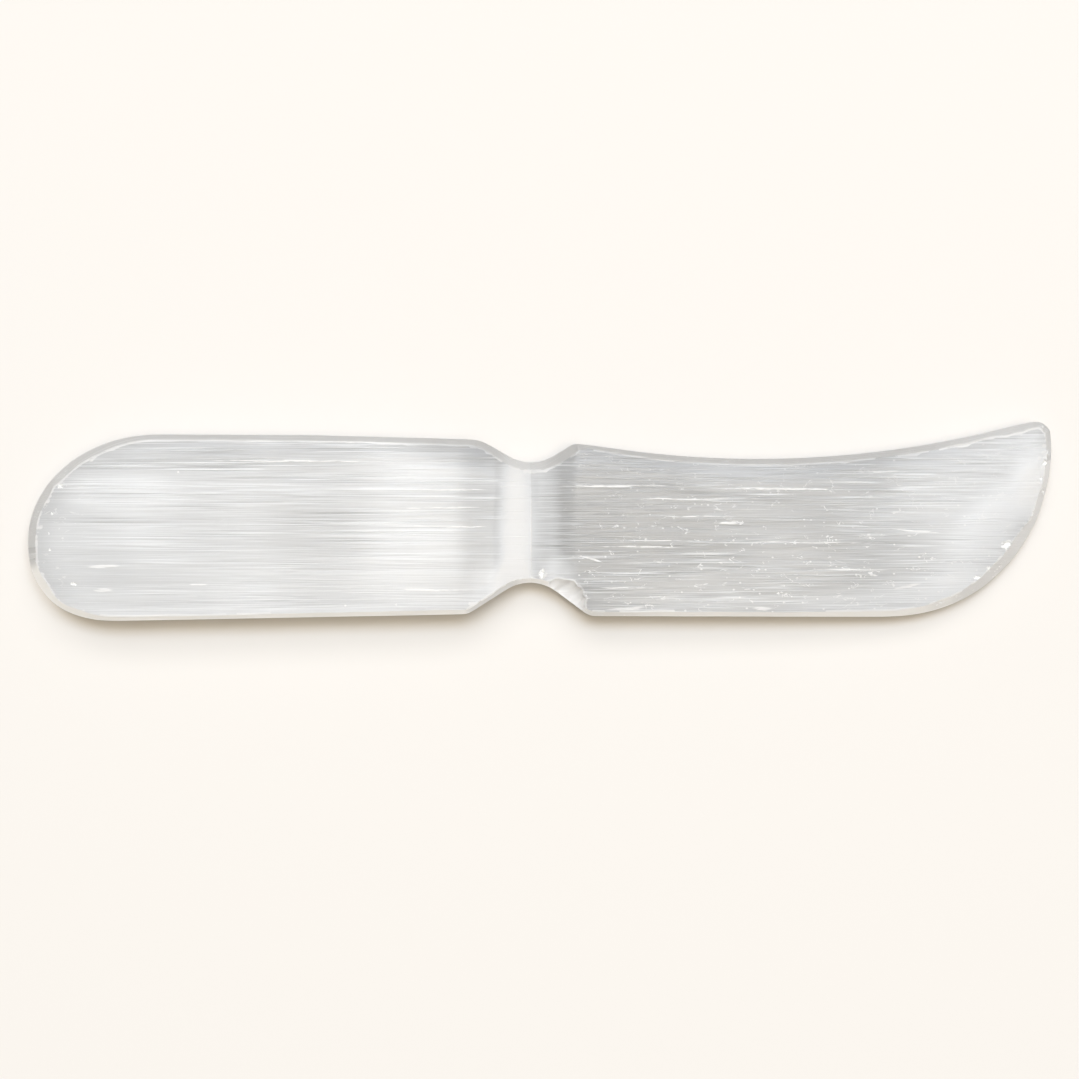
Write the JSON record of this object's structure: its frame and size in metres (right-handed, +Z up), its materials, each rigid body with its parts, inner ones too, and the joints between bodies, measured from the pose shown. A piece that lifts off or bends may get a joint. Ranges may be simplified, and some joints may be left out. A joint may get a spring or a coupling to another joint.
{
  "type": "selenite knife",
  "caption": "Knife carved from one bar of fibrous selenite: rounded slab handle, notched waist and upswept blade.",
  "frame": {"origin": "under the middle of the knife, on the flat back that it lies on", "axes": "+X along the knife from the rounded butt to the tip, +Y across it towards the hollow spine, +Z up through its thickness"},
  "size_m": [0.2, 0.0389, 0.012],
  "materials": {
    "selenite": "polished fibrous satin spar selenite, translucent white to silvery grey with silky streaks along its length"
  },
  "bodies": {
    "root": {"selenite_knife": "selenite"}
  },
  "joints": []
}
